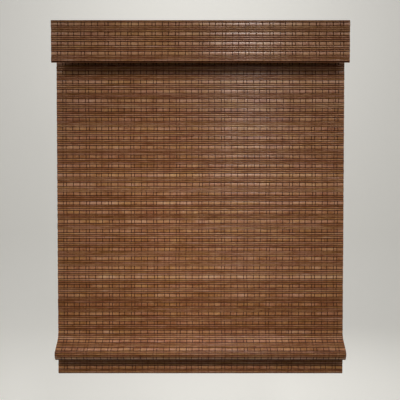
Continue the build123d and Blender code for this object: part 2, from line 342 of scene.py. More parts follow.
@dataclass(frozen=True)
class ThreadPlan:
    """Where the threads stand across the weave: one pair and two singles in each repeat."""

    repeat: float = 0.070
    pair_gap: float = 0.010
    first_single: float = 0.026
    second_single: float = 0.044
    drift: float = 0.013
    drift_rate: float = 7.0
    block_stride: float = 7.3

    def offsets(self) -> tuple[float, ...]:
        """Places of the threads within one repeat."""
        return -self.pair_gap / 2, self.pair_gap / 2, self.first_single, self.second_single

    def inputs(self) -> tuple[tuple[str, str, float], ...]:
        """The plan as named inputs of a node tree.

        Returns:
            Name, socket type and value of each input.
        """
        sizes = {
            "Thread Repeat": self.repeat,
            "Pair Gap": self.pair_gap,
            "First Single": self.first_single,
            "Second Single": self.second_single,
            "Thread Drift": self.drift,
            "Drift Rate": self.drift_rate,
        }
        return tuple((name, "NodeSocketFloat", size) for name, size in sizes.items())

    def stray(self, graph: Graph, x: Wire, height: Wire, drift: Number, rate: Number) -> Wire:
        """How far the threads of one repeat stand to the side at a height.

        Args:
            graph: The tree that asks.
            x: Place across the weave.
            height: Height on the weave.
            drift: Width of the whole drift.
            rate: How quickly it changes with the height.

        Returns:
            The distance along X.
        """
        block = (x / self.repeat + 0.5).floor()
        where = graph.vector(block * self.block_stride, height * rate, 0.0)
        return (graph.noise(where, detail=2.0) - 0.5) * drift


@dataclass(frozen=True)
class Grain:
    """A layer of cloud noise on the slats, slid along by each slat's own tone."""

    along: float
    across: float
    slide: float
    share: float
    start: float = 0.0
    detail: float = 2.0
    rough: float = 0.55

    def cloud(self, shader: Shader, tone: Wire) -> Wire:
        """Makes the layer's noise.

        Args:
            shader: The material that it is made for.
            tone: The slat's own tone.

        Returns:
            The noise, with nought in the middle.
        """
        slid = tone * self.slide + self.start
        where = shader.stretched(self.along, self.across, self.across, slid)
        return shader.noise(where, self.detail, self.rough) - 0.5


@dataclass(frozen=True)
class BambooFinish:
    """Stained, satin-varnished bamboo, with its own tone on every slat and painted shade in its grooves and
    beside its threads.
    """

    name: str
    threads: ThreadPlan
    rosy: tuple[Colour, ...] = (
        stain(66, 25, 6),
        stain(106, 55, 23),
        stain(140, 85, 49),
        stain(173, 122, 90),
        stain(195, 154, 127),
    )
    golden: tuple[Colour, ...] = (
        stain(62, 27, 4),
        stain(101, 56, 17),
        stain(135, 86, 38),
        stain(170, 121, 70),
        stain(194, 153, 106),
    )
    places: tuple[float, ...] = (0.0, 0.25, 0.5, 0.75, 1.0)
    # Painted shade colour, laid in the grooves between slats and beside the threads.
    groove: Colour = stain(52, 17, 3)
    drift: Grain = Grain(6.0, 40.0, 91.0, 0.45)
    blotch: Grain = Grain(30.0, 60.0, 57.0, 0.5, start=7.0)
    fibre: Grain = Grain(55.0, 1100.0, 37.0, 0.5, detail=4.0, rough=0.65)
    fleck: Grain = Grain(170.0, 500.0, 71.0, 0.35, detail=1.0)
    hue: Grain = Grain(11.0, 45.0, 23.0, 3.0, start=3.0)
    middle_tone: float = 0.61
    slat_share: float = 0.34
    wide_tone: float = 0.02
    wide_blotch: float = 0.1
    golden_share: float = 0.45
    knuckle_depth: float = 0.55
    joint_spacing: float = 0.33
    joint_width: float = 0.0016
    joint_scatter: float = 17.3
    wide_shoulder: float = 0.75
    # How the painted shade in a groove starts, rises and deepens across the slat.
    groove_shade_start: float = 0.22
    groove_shade_rise: float = 1.8
    groove_shade_power: float = 1.2
    groove_shade_depth: float = 0.95
    # Width and depth of the painted shade beside each thread, a little deeper on a wide slat.
    thread_shade_width: float = 0.0024
    thread_shade_depth: float = 0.22
    wide_thread_shade: float = 0.05
    varnish: float = 0.32
    wide_varnish: float = 0.26
    varnish_loss: float = 0.8
    varnish_roughness: float = 0.26
    roughness: float = 0.6
    fibre_roughness: float = 0.25
    relief: float = 0.0004

    def material(self) -> bpy.types.Material:
        """Builds the finish from the slat's tone, kind and profile attributes.

        Returns:
            The material.
        """
        shader = Shader(self.name)
        tone = shader.attribute("tone")
        wide = shader.attribute("wide")
        fibre = self.fibre.cloud(shader, tone)
        knuckle = self._knuckle(shader, tone)
        edge = self._edge(shader, wide)
        # Painted shade beside the threads, deeper on wide slats.
        thread_shade = self._thread_shade(shader) * (self.thread_shade_depth + wide * self.wide_thread_shade)
        colour = self._stained(shader, tone, wide, fibre)
        colour = shader.mix(knuckle * self.knuckle_depth, colour, self.rosy[0])
        # Painted shade: the grooves and the slat beside each thread are darkened towards the painted shade
        # colour.
        colour = shader.mix((edge * self.groove_shade_depth + thread_shade).clamped(), colour, self.groove)
        gloss = (1.0 - edge) * (self.varnish + wide * self.wide_varnish) - thread_shade * self.varnish_loss
        shader.set(Base_Color=colour, Roughness=self.roughness + fibre * self.fibre_roughness,
                   Specular_IOR_Level=0.1, Coat_Weight=gloss.clamped(),
                   Coat_Roughness=self.varnish_roughness, Coat_IOR=1.5)
        shader.bump(fibre + knuckle, self.relief, strength=0.5)
        return shader.material

    def _stained(self, shader: Shader, tone: Wire, wide: Wire, fibre: Wire) -> Wire:
        """The stain's colour, between rosy and golden and from dark to light.

        Args:
            shader: The material under construction.
            tone: The slat's own tone.
            wide: One on a wide slat and nought on a reed.
            fibre: The fibres' noise.

        Returns:
            The colour before the joints darken it and painted shade is laid in the grooves and beside the
            threads.
        """
        level = self.middle_tone + (tone - 0.5) * self.slat_share + wide * self.wide_tone
        level = level + self.drift.cloud(shader, tone) * self.drift.share
        level = level + self.blotch.cloud(shader, tone) * (self.blotch.share + wide * self.wide_blotch)
        level = level + fibre * self.fibre.share
        level = (level + self.fleck.cloud(shader, tone) * self.fleck.share).clamped()
        warm = shader.ramp(level, list(zip(self.places, self.rosy)))
        yellow = shader.ramp(level, list(zip(self.places, self.golden)))
        share = self.hue.cloud(shader, tone) * self.hue.share + self.golden_share
        return shader.mix(share.clamped(), warm, yellow)

    def _edge(self, shader: Shader, wide: Wire) -> Wire:
        """Finds the painted shade in the groove beside a slat, which takes less of a wide one.

        Args:
            shader: The material under construction.
            wide: One on a wide slat and nought on a reed.

        Returns:
            Nought on the slat's face, rising to one, full painted shade, in the groove.
        """
        across = shader.attribute("across")
        shoulder = 1.0 - (1.0 - across) * (1.0 + wide * self.wide_shoulder)
        return ((shoulder - self.groove_shade_start) * self.groove_shade_rise).clamped() ** self.groove_shade_power

    def _knuckle(self, shader: Shader, tone: Wire) -> Wire:
        """Finds the joints of the cane, which fall at a different place on every slat.

        Args:
            shader: The material under construction.
            tone: The slat's own tone.

        Returns:
            One at a joint, falling to nought beside it.
        """
        x, _, _ = shader.split(shader.place)
        gap = ((x + tone * self.joint_scatter) / self.joint_spacing).zigzag() * (self.joint_spacing / 2)
        return (1.0 - gap / self.joint_width).clamped()

    def _thread_shade(self, shader: Shader) -> Wire:
        """Finds the painted shade where the threads press on the slats.

        Args:
            shader: The material under construction.

        Returns:
            One, full painted shade, at a thread, falling to nought a shade's width away from it.
        """
        plan = self.threads
        x, _, _ = shader.split(shader.place)
        x = x - plan.stray(shader, x, shader.attribute("level"), plan.drift, plan.drift_rate)
        thread_shade_lines: list[Wire] = []
        for offset in plan.offsets():
            gap = ((x - offset) / plan.repeat + 0.5).zigzag() * (plan.repeat / 2)
            thread_shade_lines.append((1.0 - gap / self.thread_shade_width).clamped())
        return sum(thread_shade_lines[1:], thread_shade_lines[0])


@dataclass(frozen=True)
class ThreadFinish:
    """Dull spun thread with its ply showing."""

    name: str
    dark: Colour
    light: Colour
    turns: float = 900.0
    slant: float = 0.7
    fuzz_scale: float = 1400.0
    ply_share: float = 0.6
    fuzz_share: float = 0.4
    roughness: float = 0.9
    fuzz_roughness: float = 0.15
    relief: float = 0.0002

    def material(self) -> bpy.types.Material:
        """Builds the finish from slanted plies along the thread.

        Returns:
            The material.
        """
        shader = Shader(self.name)
        x, y, z = shader.split(shader.place)
        ply = ((z + x * self.slant + y * self.slant) * self.turns).zigzag()
        fuzz = shader.noise(shader.stretched(self.fuzz_scale, self.fuzz_scale, self.fuzz_scale), detail=2.0)
        share = (ply * self.ply_share + fuzz * self.fuzz_share).clamped()
        shader.set(Base_Color=shader.mix(share, self.dark, self.light), Specular_IOR_Level=0.1,
                   Roughness=self.roughness + (fuzz - 0.5) * self.fuzz_roughness)
        shader.bump(ply, self.relief, strength=0.6)
        return shader.material


@dataclass(frozen=True)
class TapeFinish:
    """Woven nylon tape with a napped face."""

    name: str
    dark: Colour
    light: Colour
    pitch: float = 0.0016
    nap_scale: float = 2200.0
    stitch_share: float = 0.7
    nap_share: float = 0.3
    roughness: float = 0.88
    nap_gloss: float = 0.1
    relief: float = 0.0003

    def material(self) -> bpy.types.Material:
        """Builds the finish as a fine chequer of raised stitches.

        Returns:
            The material.
        """
        shader = Shader(self.name)
        x, _, z = shader.split(shader.place)
        nap = shader.noise(shader.stretched(self.nap_scale, self.nap_scale, self.nap_scale), detail=2.0)
        stitch = (x / self.pitch).zigzag() * (z / self.pitch).zigzag()
        height = stitch * self.stitch_share + nap * self.nap_share
        shader.set(Base_Color=shader.mix(height.clamped(), self.dark, self.light),
                   Roughness=self.roughness - nap * self.nap_gloss)
        shader.bump(height, self.relief, strength=0.7)
        return shader.material


@dataclass(frozen=True)
class PaintFinish:
    """Brushed or sprayed paint with slight unevenness and a scuffed, dusty tone."""

    name: str
    paint: Colour
    dust: Colour
    roughness: float
    peel: float
    grain: tuple[float, float, float]
    patch_scale: tuple[float, float, float] = (9.0, 30.0, 30.0)
    dust_start: float = 0.42
    dust_rise: float = 1.6
    dust_share: float = 0.6
    patch_roughness: float = 0.2
    skin_roughness: float = 0.1

    def material(self) -> bpy.types.Material:
        """Builds the finish from broad dust patches and a fine skin.

        Returns:
            The material.
        """
        shader = Shader(self.name)
        patch = shader.noise(shader.stretched(*self.patch_scale), detail=4.0)
        skin = shader.noise(shader.stretched(*self.grain), detail=3.0)
        dusty = ((patch - self.dust_start) * self.dust_rise).clamped() * self.dust_share
        uneven = (patch - 0.5) * self.patch_roughness + (skin - 0.5) * self.skin_roughness
        shader.set(Base_Color=shader.mix(dusty, self.paint, self.dust), Roughness=self.roughness + uneven)
        shader.bump(skin, self.peel, strength=0.4)
        return shader.material


@dataclass(frozen=True)
class MetalFinish:
    """Bare metal drawn or rolled along X."""

    name: str
    bright: Colour
    dull: Colour
    roughness: float
    line_scale: tuple[float, float, float] = (6.0, 2600.0, 2600.0)
    tarnish_scale: tuple[float, float, float] = (40.0, 90.0, 90.0)
    line_share: float = 0.4
    tarnish_share: float = 0.6
    line_roughness: float = 0.25
    tarnish_roughness: float = 0.12
    relief: float = 0.00012

    def material(self) -> bpy.types.Material:
        """Builds the finish from fine lines along X and a tarnish.

        Returns:
            The material.
        """
        shader = Shader(self.name)
        lines = shader.noise(shader.stretched(*self.line_scale), detail=3.0)
        tarnish = shader.noise(shader.stretched(*self.tarnish_scale), detail=3.0)
        share = (tarnish * self.tarnish_share + lines * self.line_share).clamped()
        uneven = (lines - 0.5) * self.line_roughness + (tarnish - 0.5) * self.tarnish_roughness
        shader.set(Base_Color=shader.mix(share, self.bright, self.dull), Metallic=1.0,
                   Roughness=self.roughness + uneven)
        shader.bump(lines, self.relief, strength=0.35)
        return shader.material


@dataclass(frozen=True)
class TimberFinish:
    """Bare sanded softwood with long grain along X."""

    name: str
    early: Colour = stain(206, 176, 134)
    late: Colour = stain(168, 126, 84)
    roughness: float = 0.62
    bend_scale: tuple[float, float, float] = (3.0, 70.0, 70.0)
    pore_scale: tuple[float, float, float] = (60.0, 2400.0, 2400.0)
    rings: float = 9.0
    ring_share: float = 0.65
    pore_share: float = 0.35
    pore_roughness: float = 0.25
    relief: float = 0.0003

    def material(self) -> bpy.types.Material:
        """Builds the finish from bent grain lines and pores.

        Returns:
            The material.
        """
        shader = Shader(self.name)
        bend = shader.noise(shader.stretched(*self.bend_scale), detail=2.0)
        pores = shader.noise(shader.stretched(*self.pore_scale), detail=3.0)
        share = ((bend * self.rings).zigzag() * self.ring_share + pores * self.pore_share).clamped()
        shader.set(Base_Color=shader.mix(share, self.early, self.late),
                   Roughness=self.roughness + (pores - 0.5) * self.pore_roughness)
        shader.bump(pores, self.relief, strength=0.5)
        return shader.material


@dataclass(frozen=True)
class MouldedFinish:
    """Moulded plastic with a faint bloom and a fine texture."""

    name: str
    colour: Colour
    bloom: Colour
    roughness: float = 0.48
    bloom_scale: float = 55.0
    bloom_start: float = 0.1
    bloom_share: float = 0.7
    bloom_roughness: float = 0.2
    skin_scale: float = 2600.0
    relief: float = 0.0001

    def material(self) -> bpy.types.Material:
        """Builds the finish from bloom patches and a spark-eroded skin.

        Returns:
            The material.
        """
        shader = Shader(self.name)
        patch = shader.noise(
            shader.stretched(self.bloom_scale, self.bloom_scale, self.bloom_scale), detail=3.0)
        skin = shader.noise(shader.stretched(self.skin_scale, self.skin_scale, self.skin_scale), detail=2.0)
        share = (patch - self.bloom_start).clamped() * self.bloom_share
        shader.set(Base_Color=shader.mix(share, self.colour, self.bloom), Subsurface_Weight=0.05,
                   Roughness=self.roughness + (patch - 0.5) * self.bloom_roughness)
        shader.bump(skin, self.relief, strength=0.4)
        return shader.material


@dataclass(frozen=True)
class Bend:
    """One straight run or round bend of a path in the (y, z) plane."""

    start: float
    length: float
    origin: tuple[float, float]
    heading: float
    turn: float

    def at(self, along: float) -> tuple[float, float, float]:
        """Place and heading after a length along this run.

        Args:
            along: Length from the run's own start, in metres.

        Returns:
            y, z and the heading in radians from +y.
        """
        if not self.turn:
            reach = (along * math.cos(self.heading), along * math.sin(self.heading))
            return self.origin[0] + reach[0], self.origin[1] + reach[1], self.heading
        radius = self.length / self.turn
        angle = self.heading + along / radius
        y = self.origin[0] + radius * (math.sin(angle) - math.sin(self.heading))
        z = self.origin[1] - radius * (math.cos(angle) - math.cos(self.heading))
        return y, z, angle


class RoundedPath:
    """Straight runs between corners, each corner rounded, measured by length."""

    def __init__(self, corners: Sequence[tuple[float, float]], radii: Sequence[float]) -> None:
        """Lays out the runs and bends.

        Args:
            corners: The (y, z) corners, ends included.
            radii: One radius for each inner corner.
        """
        self.bends: list[Bend] = []
        self.length = 0.0
        here = corners[0]
        for number, corner in enumerate(corners[1:], start=1):
            heading = math.atan2(corner[1] - here[1], corner[0] - here[0])
            run = math.dist(here, corner)
            if number == len(corners) - 1:
                here = self._lay(here, run, heading, 0.0)
                break
            beyond = corners[number + 1]
            onward = math.atan2(beyond[1] - corner[1], beyond[0] - corner[0])
            turn = (onward - heading + math.pi) % (2 * math.pi) - math.pi
            trim = radii[number - 1] * abs(math.tan(turn / 2))
            here = self._lay(here, run - trim, heading, 0.0)
            here = self._lay(here, radii[number - 1] * abs(turn), heading, turn)

    def _lay(self, here: tuple[float, float], length: float, heading: float,
             turn: float) -> tuple[float, float]:
        """Adds one run.

        Args:
            here: Where the run starts.
            length: Its length.
            heading: Its heading at the start, in radians from +y.
            turn: How far it turns, in radians; nought for a straight run.

        Returns:
            The place where it ends.
        """
        bend = Bend(self.length, length, here, heading, turn)
        self.bends.append(bend)
        self.length += length
        return bend.at(length)[:2]

    def at(self, along: float) -> tuple[float, float, float]:
        """Place and heading at a length along the whole path.

        Args:
            along: Length from the path's start, in metres.

        Returns:
            y, z and the heading in radians from +y.
        """
        for bend in self.bends:
            if along <= bend.start + bend.length:
                return bend.at(along - bend.start)
        return self.bends[-1].at(along - self.bends[-1].start)


@dataclass(frozen=True)
class Slat:
    """One slat or reed, with its place on the path."""

    start: float
    pitch: float
    thick: float
    kind: SlatKind
    tone: float

    @property
    def end(self) -> float:
        """Length along the path where the slat ends."""
        return self.start + self.pitch


@dataclass(frozen=True)
class Weave:
    """The repeat of one wide slat and a run of reeds, and the threads that bind them."""

    wide_pitch: float = 0.0114
    wide_thick: float = 0.0018
    reed_pitch: float = 0.0058
    reed_thick: float = 0.0024
    reeds: int = 3
    thread_radius: float = 0.0009
    seed: int = 41

    ENDLESS = 1000
    LENGTH_SLACK = 1e-6
    TONE_MIDDLE = 0.5
    TONE_SPREAD = 0.2

    def repeat(self) -> float:
        """Height of one repeat."""
        return self.wide_pitch + self.reeds * self.reed_pitch

    def slats(self, length: float, first: int, repeats: int = ENDLESS) -> list[Slat]:
        """Lays slats along a length, starting at a place in the repeat.

        Args:
            length: The path's whole length.
            first: Place in the repeat of the first slat; 0 is the wide one.
            repeats: Number of the last repeat that has a wide slat.

        Returns:
            The slats in order.
        """
        chance = random.Random(self.seed + first)
        laid: list[Slat] = []
        start, index = 0.0, first
        while True:
            wide = index % (self.reeds + 1) == 0 and index // (self.reeds + 1) <= repeats
            pitch = self.wide_pitch if wide else self.reed_pitch
            if start + pitch > length + self.LENGTH_SLACK:
                return laid
            tone = min(max(chance.gauss(self.TONE_MIDDLE, self.TONE_SPREAD), 0.0), 1.0)
            thick = self.wide_thick if wide else self.reed_thick
            laid.append(Slat(start, pitch, thick, SlatKind.WIDE if wide else SlatKind.REED, tone))
            start, index = start + pitch, index + 1


class PieceTree:
    """Geometry nodes with named inputs that turn a base mesh into a finished piece."""

    def __init__(self, name: str, inputs: Iterable[tuple[str, str, Any]]) -> None:
        """Builds the tree once, for every piece that it makes.

        Args:
            name: The tree's name.
            inputs: Name, socket type and default of each input.
        """
        self.tree = bpy.data.node_groups.new(name, "GeometryNodeTree")
        self.graph = Graph(self.tree)
        face = self.tree.interface
        face.new_socket("Geometry", in_out="INPUT", socket_type="NodeSocketGeometry")
        face.new_socket("Geometry", in_out="OUTPUT", socket_type="NodeSocketGeometry")
        self.identifiers: dict[str, str] = {}
        for title, kind, default in inputs:
            socket = face.new_socket(title, in_out="INPUT", socket_type=kind)
            if default is not None:
                socket.default_value = default
            self.identifiers[title] = socket.identifier
        self.inputs = self.graph.node("NodeGroupInput")
        self.graph.node("NodeGroupOutput", None, {"Geometry": self._made()})

    def _value(self, name: str) -> Wire:
        """One of the tree's own inputs."""
        return self.inputs.out(name)

    def _made(self) -> Wire:
        """The finished geometry; each kind of tree makes its own."""
        raise NotImplementedError

    def _swept(self, curve: Wire, profile: Wire, caps: bool = False) -> Wire:
        """A profile carried along a curve."""
        return self.graph.node("GeometryNodeCurveToMesh", None, {
            "Curve": curve, "Profile Curve": profile, "Fill Caps": caps}).out()

    def _ring(self, points: int, radius: Number) -> Wire:
        """A round profile."""
        return self.graph.node("GeometryNodeCurvePrimitiveCircle", None, {
            "Resolution": points, "Radius": radius}).out()

    def _finished(self, geometry: Wire, finish: str) -> Wire:
        """Geometry made real and given the finish that an input names."""
        real = self.graph.node("GeometryNodeRealizeInstances", None, {"Geometry": geometry})
        return self.graph.node("GeometryNodeSetMaterial", None, {
            "Geometry": real.out(), "Material": self._value(finish)}).out()

    def grow(self, base: bpy.types.Object, values: dict[str, Any]) -> bpy.types.Object:
        """Runs the tree on a base object and gives the result as a plain mesh object.

        Args:
            base: The points and lines that the tree starts from; it is used up.
            values: Tree input name to value.

        Returns:
            A new object of the base's name with the finished mesh.
        """
        modifier = base.modifiers.new("make", "NODES")
        modifier.node_group = self.tree
        for name, value in values.items():
            modifier[self.identifiers[name]] = value
        base.update_tag()
        depsgraph = bpy.context.evaluated_depsgraph_get()
        mesh = bpy.data.meshes.new_from_object(
            base.evaluated_get(depsgraph), preserve_all_data_layers=True, depsgraph=depsgraph)
        name, blank = base.name, base.data
        bpy.data.objects.remove(base)
        bpy.data.meshes.remove(blank)
        mesh.name = name
        return add_object(name, mesh)


class CordTree(PieceTree):
    """Geometry nodes that turn a line into a round cord."""

    INPUTS: tuple[tuple[str, str, Any], ...] = (
        ("Cord Radius", "NodeSocketFloat", 0.0007),
        ("Cord Finish", "NodeSocketMaterial", None),
    )
    SIDES = 8

    def __init__(self) -> None:
        """Builds the tree for all cords."""
        super().__init__("round_cord", self.INPUTS)

    def _made(self) -> Wire:
        """Sweeps the line as a smooth tube with closed ends.

        Returns:
            The cord.
        """
        graph = self.graph
        curve = graph.node("GeometryNodeMeshToCurve", None, {"Mesh": self._value("Geometry")})
        tube = self._swept(curve.out(), self._ring(self.SIDES, self._value("Cord Radius")), True)
        smooth = graph.node("GeometryNodeSetShadeSmooth", {"domain": "FACE"}, {"Geometry": tube})
        return self._finished(smooth.out(), "Cord Finish")


class WovenTree(PieceTree):
    """Geometry nodes that turn a strip's slat points and thread line into bamboo and thread."""

    INPUTS: tuple[tuple[str, str, Any], ...] = (
        ("Slat Length", "NodeSocketFloat", 0.89),
        ("Slat Segments", "NodeSocketInt", 31),
        ("Reed Squareness", "NodeSocketFloat", 0.95),
        ("Wide Squareness", "NodeSocketFloat", 0.85),
        ("Wander", "NodeSocketFloat", 0.0005),
        ("Thread Radius", "NodeSocketFloat", 0.0009),
        ("Edge Inset", "NodeSocketFloat", 0.002),
        ("Slat Finish", "NodeSocketMaterial", None),
        ("Thread Finish", "NodeSocketMaterial", None),
    )
    REPEATS_EACH_SIDE = 7
    THREADS_PER_REPEAT = 4
    PROFILE_POINTS = 12
    THREAD_SIDES = 5
    WANDER_WAVE = 9.0
    TONE_SCATTER = 311.0
    PITCH_SCATTER = 900.0
    END_FACE = 0.5

    def __init__(self, plan: ThreadPlan) -> None:
        """Builds the tree for all strips, with the plan's places for their threads."""
        self.plan = plan
        super().__init__("woven_strip", (*self.INPUTS, *plan.inputs()))

    def _named(self, name: str, kind: str = "FLOAT") -> Wire:
        """A value carried by the strip's points."""
        return self.graph.node("GeometryNodeInputNamedAttribute", {"data_type": kind}, {
            "Name": name}).out("Attribute")

    def _made(self) -> Wire:
        """Parts slat points from thread lines and makes both.

        Returns:
            The slats and the threads, joined.
        """
        graph = self.graph
        parted = graph.node("GeometryNodeSeparateGeometry", {"domain": "POINT"}, {
            "Geometry": self._value("Geometry"), "Selection": self._named("strand", "BOOLEAN")})
        slats = self._slats(parted.out("Inverted"))
        threads = self._threads(parted.out("Selection"))
        return graph.node("GeometryNodeJoinGeometry", None, {"Geometry": [slats, threads]}).out()

    def _blank(self, squareness: Wire) -> Wire:
        """Makes a slat of unit section along X.

        Args:
            squareness: The power that shapes its section; 1 is a circle, and less is squarer.

        Returns:
            The slat, which carries how far across its face each point is.
        """
        graph = self.graph
        ring = self._ring(self.PROFILE_POINTS, 0.5)
        x, y, _ = graph.split(graph.node("GeometryNodeInputPosition").out())
        square_x = x.sign() * 0.5 * abs(x * 2.0) ** squareness
        square_y = y.sign() * 0.5 * abs(y * 2.0) ** squareness
        profile = graph.node("GeometryNodeSetPosition", None, {
            "Geometry": ring, "Position": graph.vector(square_x, square_y, 0.0)})
        half = self._value("Slat Length") * 0.5
        line = graph.node("GeometryNodeCurvePrimitiveLine", None, {
            "Start": graph.vector(half * -1.0, 0.0, 0.0), "End": graph.vector(half, 0.0, 0.0)})
        steps = graph.node("GeometryNodeResampleCurve", None, {
            "Curve": line.out(), "Count": self._value("Slat Segments")})
        swept = self._swept(steps.out(), profile.out(), True)
        _, _, height = graph.split(graph.node("GeometryNodeInputPosition").out())
        stored = graph.node("GeometryNodeStoreNamedAttribute", {"data_type": "FLOAT", "domain": "POINT"}, {
            "Geometry": swept, "Name": "across", "Value": abs(height * 2.0)})
        return graph.node("GeometryNodeGeometryToInstance", None, {"Geometry": stored.out()}).out()

    def _slats(self, points: Wire) -> Wire:
        """Lays bamboo on every slat point, wandering a little along its length.

        Args:
            points: The strip's slat points.

        Returns:
            The finished slats.
        """
        graph = self.graph
        wide = self._blank(self._value("Wide Squareness"))
        reed = self._blank(self._value("Reed Squareness"))
        # The last link of a joined socket comes first, so reeds are number 0, as in SlatKind.
        blanks = graph.node("GeometryNodeJoinGeometry", None, {"Geometry": [wide, reed]})
        lean = graph.vector(self._named("lean"), 0.0, 0.0)
        size = graph.vector(self._named("reach"), self._named("thick"), self._named("pitch"))
        laid = graph.node("GeometryNodeInstanceOnPoints", None, {
            "Points": points, "Instance": blanks.out(), "Pick Instance": True,
            "Instance Index": self._named("kind", "INT"), "Rotation": lean, "Scale": size})
        real = graph.node("GeometryNodeRealizeInstances", None, {"Geometry": laid.out()})
        x, _, _ = graph.split(graph.node("GeometryNodeInputPosition").out())
        where = graph.vector(x * self.WANDER_WAVE, self._named("tone") * self.TONE_SCATTER,
                             self._named("pitch") * self.PITCH_SCATTER)
        cloud = graph.node("ShaderNodeTexNoise", None, {"Vector": where, "Scale": 1.0, "Detail": 2.0})
        red, green, _ = graph.split(cloud.out("Color"))
        wander = self._value("Wander")
        shift = graph.vector(0.0, (red - 0.5) * wander, (green - 0.5) * wander)
        bent = graph.node("GeometryNodeSetPosition", None, {"Geometry": real.out(), "Offset": shift})
        nx, _, _ = graph.split(graph.node("GeometryNodeInputNormal").out())
        smooth = graph.node("GeometryNodeSetShadeSmooth", {"domain": "FACE"}, {
            "Geometry": bent.out(), "Selection": abs(nx).below(self.END_FACE)})
        return self._finished(smooth.out(), "Slat Finish")

    def _threads(self, line: Wire) -> Wire:
        """Sweeps the thread lines and repeats them across the strip, in pairs and singles.

        Args:
            line: The strip's thread lines.

        Returns:
            The finished threads.
        """
        graph = self.graph
        curve = graph.node("GeometryNodeMeshToCurve", None, {"Mesh": line})
        swept = self._swept(curve.out(), self._ring(self.THREAD_SIDES, self._value("Thread Radius")))
        index = graph.node("GeometryNodeInputIndex").out()
        place = index % float(self.THREADS_PER_REPEAT)
        block = (index / float(self.THREADS_PER_REPEAT)).floor() - float(self.REPEATS_EACH_SIDE)
        pair = self._value("Pair Gap") * 0.5
        first = place.equals(2.0) * self._value("First Single")
        second = place.equals(3.0) * self._value("Second Single")
        offset = place.equals(1.0) * pair - place.equals(0.0) * pair + first + second
        x = block * self._value("Thread Repeat") + offset
        count = 2 * self.REPEATS_EACH_SIDE * self.THREADS_PER_REPEAT
        spots = graph.node("GeometryNodePoints", None, {
            "Count": count, "Position": graph.vector(x, 0.0, 0.0)})
        px, _, _ = graph.split(graph.node("GeometryNodeInputPosition").out())
        limit = self._value("Slat Length") * 0.5 - self._value("Edge Inset")
        kept = graph.node("GeometryNodeDeleteGeometry", {"domain": "POINT"}, {
            "Geometry": spots.out(), "Selection": limit.below(abs(px))})
        laid = graph.node("GeometryNodeInstanceOnPoints", None, {"Points": kept.out(), "Instance": swept})
        real = graph.node("GeometryNodeRealizeInstances", None, {"Geometry": laid.out()})
        wx, _, height = graph.split(graph.node("GeometryNodeInputPosition").out())
        aside = self.plan.stray(graph, wx, height, self._value("Thread Drift"), self._value("Drift Rate"))
        strayed = graph.node("GeometryNodeSetPosition", None, {
            "Geometry": real.out(), "Offset": graph.vector(aside, 0.0, 0.0)})
        smooth = graph.node("GeometryNodeSetShadeSmooth", {"domain": "FACE"}, {"Geometry": strayed.out()})
        return self._finished(smooth.out(), "Thread Finish")


def add_object(name: str, mesh: bpy.types.Mesh) -> bpy.types.Object:
    """Puts a mesh into the scene, at the origin.

    Args:
        name: The object's name.
        mesh: Its mesh.

    Returns:
        The object.
    """
    piece = bpy.data.objects.new(name, mesh)
    bpy.context.scene.collection.objects.link(piece)
    return piece


@dataclass(frozen=True)
class Fold:
    """How a strip shortens as the shade rises: along an axis, towards an anchor, to the share it keeps."""

    axis: tuple[float, float, float]
    anchor: tuple[float, float, float]
    keep: float


